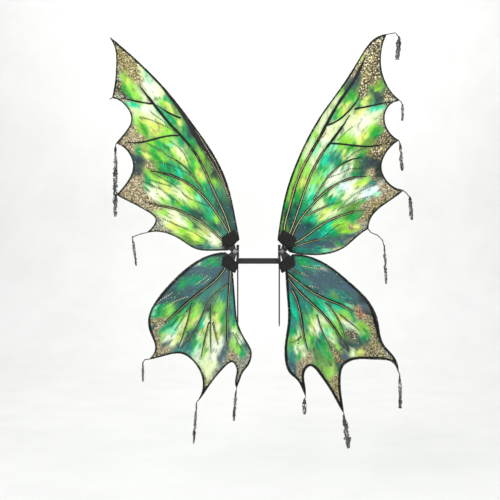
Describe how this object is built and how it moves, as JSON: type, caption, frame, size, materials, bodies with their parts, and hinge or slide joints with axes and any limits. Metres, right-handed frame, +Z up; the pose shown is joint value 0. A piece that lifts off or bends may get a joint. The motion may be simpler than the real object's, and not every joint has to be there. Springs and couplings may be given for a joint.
{
  "type": "fairy wings",
  "caption": "Large costume fairy wings: wire-framed painted film wings with scalloped, spiked edges, hung with gauze streamers, hinged on a two-pronged back frame.",
  "frame": {"origin": "middle of the cross bar's flat face that lies against the wearer's back", "axes": "+X across the wearer's back, to the right as seen from behind; +Y the way the wearer faces; +Z up"},
  "size_m": [1.2042, 0.2051, 1.668],
  "materials": {
    "film": "painted, glittered cellophane film, glossy",
    "black_wire": "black paint with gold-cream highlights, satin",
    "gauze": "tattered black and grey gauze",
    "leather": "soft black leather, semi-matt",
    "black_steel": "black powder coat, satin",
    "steel": "brushed, satin",
    "rubber": "matt"
  },
  "bodies": {
    "back_frame": {"cross_bar": "black_steel", "left_prong": "steel", "right_prong": "steel", "prong_tips": "rubber", "stop_collars": "steel", "collar_screws": "black_steel", "pivot_caps": "steel"},
    "left_hub": {"left_hub": "black_steel", "left_pivot_bolt": "steel", "left_washers": "steel", "left_wing_nut": "steel"},
    "left_upper_wing": {"left_upper_root_plate": "black_steel", "left_upper_film": "film", "left_upper_leading_rod": "black_wire", "left_upper_edge_wire": "black_wire", "left_upper_ribs": "black_wire", "left_upper_veins": "black_wire", "left_upper_root_cover": "leather"},
    "left_upper_streamer_1": {"left_upper_streamer_1": "gauze"},
    "left_upper_streamer_2": {"left_upper_streamer_2": "gauze"},
    "left_lower_wing": {"left_lower_root_plate": "black_steel", "left_lower_film": "film", "left_lower_leading_rod": "black_wire", "left_lower_edge_wire": "black_wire", "left_lower_ribs": "black_wire", "left_lower_veins": "black_wire", "left_lower_root_cover": "leather"},
    "left_lower_streamer_1": {"left_lower_streamer_1": "gauze"},
    "left_lower_streamer_2": {"left_lower_streamer_2": "gauze"},
    "left_lower_streamer_3": {"left_lower_streamer_3": "gauze"},
    "right_hub": {"right_hub": "black_steel", "right_pivot_bolt": "steel", "right_washers": "steel", "right_wing_nut": "steel"},
    "right_upper_wing": {"right_upper_root_plate": "black_steel", "right_upper_film": "film", "right_upper_leading_rod": "black_wire", "right_upper_edge_wire": "black_wire", "right_upper_ribs": "black_wire", "right_upper_veins": "black_wire", "right_upper_root_cover": "leather"},
    "right_upper_streamer_1": {"right_upper_streamer_1": "gauze"},
    "right_upper_streamer_2": {"right_upper_streamer_2": "gauze"},
    "right_upper_streamer_3": {"right_upper_streamer_3": "gauze"},
    "right_upper_streamer_4": {"right_upper_streamer_4": "gauze"},
    "right_upper_streamer_5": {"right_upper_streamer_5": "gauze"},
    "right_lower_wing": {"right_lower_root_plate": "black_steel", "right_lower_film": "film", "right_lower_leading_rod": "black_wire", "right_lower_edge_wire": "black_wire", "right_lower_ribs": "black_wire", "right_lower_veins": "black_wire", "right_lower_root_cover": "leather"},
    "right_lower_streamer_1": {"right_lower_streamer_1": "gauze"},
    "right_lower_streamer_2": {"right_lower_streamer_2": "gauze"},
    "right_lower_streamer_3": {"right_lower_streamer_3": "gauze"}
  },
  "joints": [
    {"name": "left_swing", "type": "hinge", "parent": "back_frame", "child": "left_hub", "pos_m": [-0.087, -0.007, 0.04], "axis": [0, 0, 1], "range_deg": [-20, 45]},
    {"name": "left_upper_tilt", "type": "hinge", "parent": "left_hub", "child": "left_upper_wing", "pos_m": [-0.10391, -0.01316, 0.04], "axis": [-0.342, 0.9397, 0], "range_deg": [-10, 30]},
    {"name": "left_upper_streamer_1_swing", "type": "hinge", "parent": "left_upper_wing", "child": "left_upper_streamer_1", "pos_m": [-0.57086, -0.1863, 0.456], "axis": [-0.342, 0.9397, 0], "range_deg": [-30, 10]},
    {"name": "left_upper_streamer_2_swing", "type": "hinge", "parent": "left_upper_wing", "child": "left_upper_streamer_2", "pos_m": [-0.50602, -0.1627, 0.098], "axis": [-0.342, 0.9397, 0], "range_deg": [-30, 10]},
    {"name": "left_lower_fold", "type": "hinge", "parent": "left_hub", "child": "left_lower_wing", "pos_m": [-0.10391, -0.01316, 0.04], "axis": [-0.342, 0.9397, 0], "range_deg": [-5, 100]},
    {"name": "left_lower_streamer_1_swing", "type": "hinge", "parent": "left_lower_wing", "child": "left_lower_streamer_1", "pos_m": [-0.46381, -0.16756, -0.407], "axis": [-0.342, 0.9397, 0], "range_deg": [-100, 5]},
    {"name": "left_lower_streamer_2_swing", "type": "hinge", "parent": "left_lower_wing", "child": "left_lower_streamer_2", "pos_m": [-0.25426, -0.09129, -0.586], "axis": [-0.342, 0.9397, 0], "range_deg": [-100, 5]},
    {"name": "left_lower_streamer_3_swing", "type": "hinge", "parent": "left_lower_wing", "child": "left_lower_streamer_3", "pos_m": [-0.09357, -0.0328, -0.542], "axis": [-0.342, 0.9397, 0], "range_deg": [-100, 5]},
    {"name": "right_swing", "type": "hinge", "parent": "back_frame", "child": "right_hub", "pos_m": [0.087, -0.007, 0.04], "axis": [0, 0, -1], "range_deg": [-20, 45]},
    {"name": "right_upper_tilt", "type": "hinge", "parent": "right_hub", "child": "right_upper_wing", "pos_m": [0.10391, -0.01316, 0.04], "axis": [-0.342, -0.9397, 0], "range_deg": [-10, 30]},
    {"name": "right_upper_streamer_1_swing", "type": "hinge", "parent": "right_upper_wing", "child": "right_upper_streamer_1", "pos_m": [0.55958, -0.1822, 0.894], "axis": [-0.342, -0.9397, 0], "range_deg": [-30, 10]},
    {"name": "right_upper_streamer_2_swing", "type": "hinge", "parent": "right_upper_wing", "child": "right_upper_streamer_2", "pos_m": [0.57273, -0.18699, 0.623], "axis": [-0.342, -0.9397, 0], "range_deg": [-30, 10]},
    {"name": "right_upper_streamer_3_swing", "type": "hinge", "parent": "right_upper_wing", "child": "right_upper_streamer_3", "pos_m": [0.56334, -0.18357, 0.468], "axis": [-0.342, -0.9397, 0], "range_deg": [-30, 10]},
    {"name": "right_upper_streamer_4_swing", "type": "hinge", "parent": "right_upper_wing", "child": "right_upper_streamer_4", "pos_m": [0.59999, -0.1969, 0.256], "axis": [-0.342, -0.9397, 0], "range_deg": [-30, 10]},
    {"name": "right_upper_streamer_5_swing", "type": "hinge", "parent": "right_upper_wing", "child": "right_upper_streamer_5", "pos_m": [0.50414, -0.16202, 0.062], "axis": [-0.342, -0.9397, 0], "range_deg": [-30, 10]},
    {"name": "right_lower_fold", "type": "hinge", "parent": "right_hub", "child": "right_lower_wing", "pos_m": [0.10391, -0.01316, 0.04], "axis": [-0.342, -0.9397, 0], "range_deg": [-5, 100]},
    {"name": "right_lower_streamer_1_swing", "type": "hinge", "parent": "right_lower_wing", "child": "right_lower_streamer_1", "pos_m": [0.55872, -0.2021, -0.455], "axis": [-0.342, -0.9397, 0], "range_deg": [-100, 5]},
    {"name": "right_lower_streamer_2_swing", "type": "hinge", "parent": "right_lower_wing", "child": "right_lower_streamer_2", "pos_m": [0.34541, -0.12447, -0.624], "axis": [-0.342, -0.9397, 0], "range_deg": [-100, 5]},
    {"name": "right_lower_streamer_3_swing", "type": "hinge", "parent": "right_lower_wing", "child": "right_lower_streamer_3", "pos_m": [0.18942, -0.06769, -0.569], "axis": [-0.342, -0.9397, 0], "range_deg": [-100, 5]}
  ],
  "couplings": [
    {"joint": "left_upper_streamer_1_swing", "follows": "left_upper_tilt", "ratio": -1},
    {"joint": "left_upper_streamer_2_swing", "follows": "left_upper_tilt", "ratio": -1},
    {"joint": "left_lower_streamer_1_swing", "follows": "left_lower_fold", "ratio": -1},
    {"joint": "left_lower_streamer_2_swing", "follows": "left_lower_fold", "ratio": -1},
    {"joint": "left_lower_streamer_3_swing", "follows": "left_lower_fold", "ratio": -1},
    {"joint": "right_upper_streamer_1_swing", "follows": "right_upper_tilt", "ratio": -1},
    {"joint": "right_upper_streamer_2_swing", "follows": "right_upper_tilt", "ratio": -1},
    {"joint": "right_upper_streamer_3_swing", "follows": "right_upper_tilt", "ratio": -1},
    {"joint": "right_upper_streamer_4_swing", "follows": "right_upper_tilt", "ratio": -1},
    {"joint": "right_upper_streamer_5_swing", "follows": "right_upper_tilt", "ratio": -1},
    {"joint": "right_lower_streamer_1_swing", "follows": "right_lower_fold", "ratio": -1},
    {"joint": "right_lower_streamer_2_swing", "follows": "right_lower_fold", "ratio": -1},
    {"joint": "right_lower_streamer_3_swing", "follows": "right_lower_fold", "ratio": -1}
  ]
}
